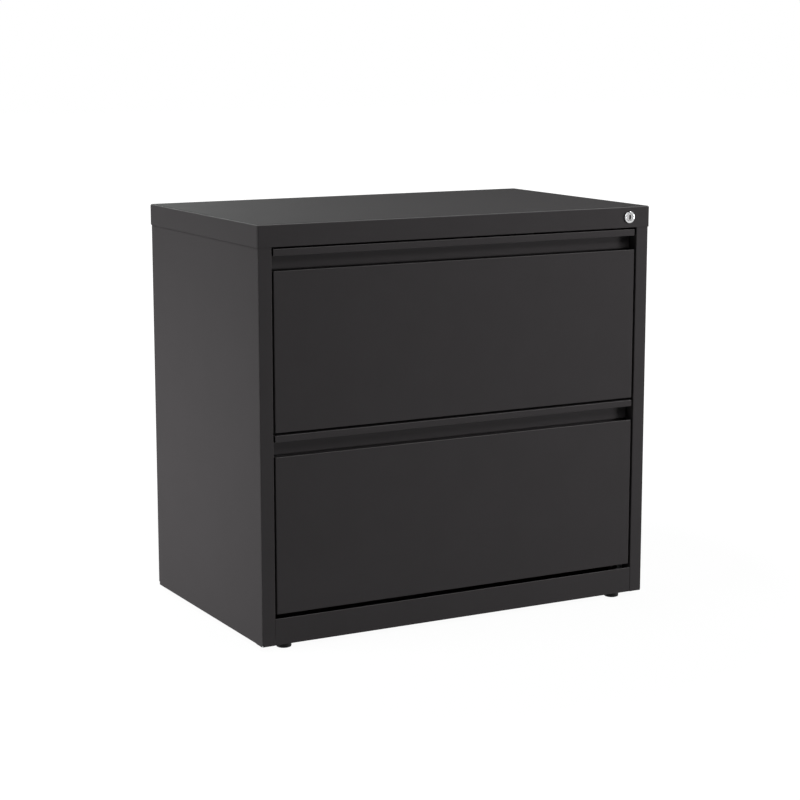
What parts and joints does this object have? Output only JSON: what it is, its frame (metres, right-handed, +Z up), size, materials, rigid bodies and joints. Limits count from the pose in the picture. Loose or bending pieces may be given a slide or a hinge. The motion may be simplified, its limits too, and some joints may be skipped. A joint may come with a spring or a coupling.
{
  "type": "lateral filing cabinet",
  "caption": "Low wide steel filing cabinet with drawers on telescoping ball slides, full-width recessed pulls, a cylinder lock that lifts a locking bar, and levelling glides.",
  "frame": {"origin": "on the floor, under the centre of the cabinet's box", "axes": "+Z up, +X to the right seen from the front, and the front faces -Y"},
  "size_m": [0.762, 0.4596, 0.711],
  "materials": {
    "charcoal_paint": "fine-textured charcoal powder coat",
    "zinc_plate": "bright zinc plate",
    "bright_steel": "polished steel",
    "polished_chrome": "polished chrome plate",
    "black_nylon": "moulded black nylon",
    "raw_steel": "mill-scale steel plate"
  },
  "bodies": {
    "case": {"top_cap": "charcoal_paint", "left_side_panel": "charcoal_paint", "right_side_panel": "charcoal_paint", "back_panel": "charcoal_paint", "base_front_rail": "charcoal_paint", "base_pan": "charcoal_paint", "counterweight": "raw_steel", "left_front_upright": "zinc_plate", "right_front_upright": "zinc_plate", "left_rear_upright": "zinc_plate", "right_rear_upright": "zinc_plate", "upper_left_case_rail": "zinc_plate", "upper_right_case_rail": "zinc_plate", "lower_left_case_rail": "zinc_plate", "lower_right_case_rail": "zinc_plate", "lock_housing": "polished_chrome", "lock_nut": "zinc_plate", "upper_lock_bar_guide": "black_nylon", "lower_lock_bar_guide": "black_nylon"},
    "upper_drawer": {"upper_drawer_face": "charcoal_paint", "upper_drawer_pull": "charcoal_paint", "upper_drawer_inner_front": "charcoal_paint", "upper_drawer_right_side": "charcoal_paint", "upper_drawer_left_side": "charcoal_paint", "upper_drawer_bottom": "charcoal_paint", "upper_drawer_back": "charcoal_paint", "upper_front_hang_rail": "charcoal_paint", "upper_rear_hang_rail": "charcoal_paint", "upper_left_drawer_rail": "zinc_plate", "upper_right_drawer_rail": "zinc_plate"},
    "upper_middle_rails": {"upper_left_middle_rail": "zinc_plate", "upper_right_middle_rail": "zinc_plate"},
    "upper_outer_ball_cages": {"upper_left_outer_ball_cage": "bright_steel", "upper_right_outer_ball_cage": "bright_steel"},
    "upper_inner_ball_cages": {"upper_left_inner_ball_cage": "bright_steel", "upper_right_inner_ball_cage": "bright_steel"},
    "lower_drawer": {"lower_drawer_face": "charcoal_paint", "lower_drawer_pull": "charcoal_paint", "lower_drawer_inner_front": "charcoal_paint", "lower_drawer_right_side": "charcoal_paint", "lower_drawer_left_side": "charcoal_paint", "lower_drawer_bottom": "charcoal_paint", "lower_drawer_back": "charcoal_paint", "lower_front_hang_rail": "charcoal_paint", "lower_rear_hang_rail": "charcoal_paint", "lower_left_drawer_rail": "zinc_plate", "lower_right_drawer_rail": "zinc_plate"},
    "lower_middle_rails": {"lower_left_middle_rail": "zinc_plate", "lower_right_middle_rail": "zinc_plate"},
    "lower_outer_ball_cages": {"lower_left_outer_ball_cage": "bright_steel", "lower_right_outer_ball_cage": "bright_steel"},
    "lower_inner_ball_cages": {"lower_left_inner_ball_cage": "bright_steel", "lower_right_inner_ball_cage": "bright_steel"},
    "lock_cylinder": {"lock_plug": "polished_chrome", "lock_cam": "zinc_plate"},
    "locking_bar": {"lock_bar": "zinc_plate"},
    "front_left_glide_foot": {"front_left_glide": "black_nylon"},
    "front_right_glide_foot": {"front_right_glide": "black_nylon"},
    "rear_left_glide_foot": {"rear_left_glide": "black_nylon"},
    "rear_right_glide_foot": {"rear_right_glide": "black_nylon"}
  },
  "joints": [
    {"name": "upper_drawer_slide", "type": "slide", "parent": "case", "child": "upper_drawer", "axis": [0, -1, 0], "range_m": [0, 0.39]},
    {"name": "upper_middle_rails_slide", "type": "slide", "parent": "case", "child": "upper_middle_rails", "axis": [0, -1, 0], "range_m": [0, 0.1955]},
    {"name": "upper_outer_ball_cages_slide", "type": "slide", "parent": "case", "child": "upper_outer_ball_cages", "axis": [0, -1, 0], "range_m": [0, 0.098]},
    {"name": "upper_inner_ball_cages_slide", "type": "slide", "parent": "case", "child": "upper_inner_ball_cages", "axis": [0, -1, 0], "range_m": [0, 0.293]},
    {"name": "lower_drawer_slide", "type": "slide", "parent": "case", "child": "lower_drawer", "axis": [0, -1, 0], "range_m": [0, 0.39]},
    {"name": "lower_middle_rails_slide", "type": "slide", "parent": "case", "child": "lower_middle_rails", "axis": [0, -1, 0], "range_m": [0, 0.1955]},
    {"name": "lower_outer_ball_cages_slide", "type": "slide", "parent": "case", "child": "lower_outer_ball_cages", "axis": [0, -1, 0], "range_m": [0, 0.098]},
    {"name": "lower_inner_ball_cages_slide", "type": "slide", "parent": "case", "child": "lower_inner_ball_cages", "axis": [0, -1, 0], "range_m": [0, 0.293]},
    {"name": "locking_bar_lift", "type": "slide", "parent": "case", "child": "locking_bar", "axis": [0, 0, 1], "range_m": [0, 0.01414]},
    {"name": "lock_turn", "type": "hinge", "parent": "case", "child": "lock_cylinder", "pos_m": [0.3375, -0.22735, 0.6925], "axis": [0, -1, 0], "range_deg": [0, 90.1]},
    {"name": "front_left_glide_screw", "type": "slide", "parent": "case", "child": "front_left_glide_foot", "axis": [0, 0, -1], "range_m": [0, 0.015]},
    {"name": "front_right_glide_screw", "type": "slide", "parent": "case", "child": "front_right_glide_foot", "axis": [0, 0, -1], "range_m": [0, 0.015]},
    {"name": "rear_left_glide_screw", "type": "slide", "parent": "case", "child": "rear_left_glide_foot", "axis": [0, 0, -1], "range_m": [0, 0.015]},
    {"name": "rear_right_glide_screw", "type": "slide", "parent": "case", "child": "rear_right_glide_foot", "axis": [0, 0, -1], "range_m": [0, 0.015]}
  ],
  "couplings": [
    {"joint": "upper_middle_rails_slide", "follows": "upper_drawer_slide", "ratio": 0.5},
    {"joint": "upper_outer_ball_cages_slide", "follows": "upper_drawer_slide", "ratio": 0.25},
    {"joint": "upper_inner_ball_cages_slide", "follows": "upper_drawer_slide", "ratio": 0.75},
    {"joint": "lower_middle_rails_slide", "follows": "lower_drawer_slide", "ratio": 0.5},
    {"joint": "lower_outer_ball_cages_slide", "follows": "lower_drawer_slide", "ratio": 0.25},
    {"joint": "lower_inner_ball_cages_slide", "follows": "lower_drawer_slide", "ratio": 0.75},
    {"joint": "lock_turn", "follows": "locking_bar_lift", "rad_per_m": 111.07}
  ]
}
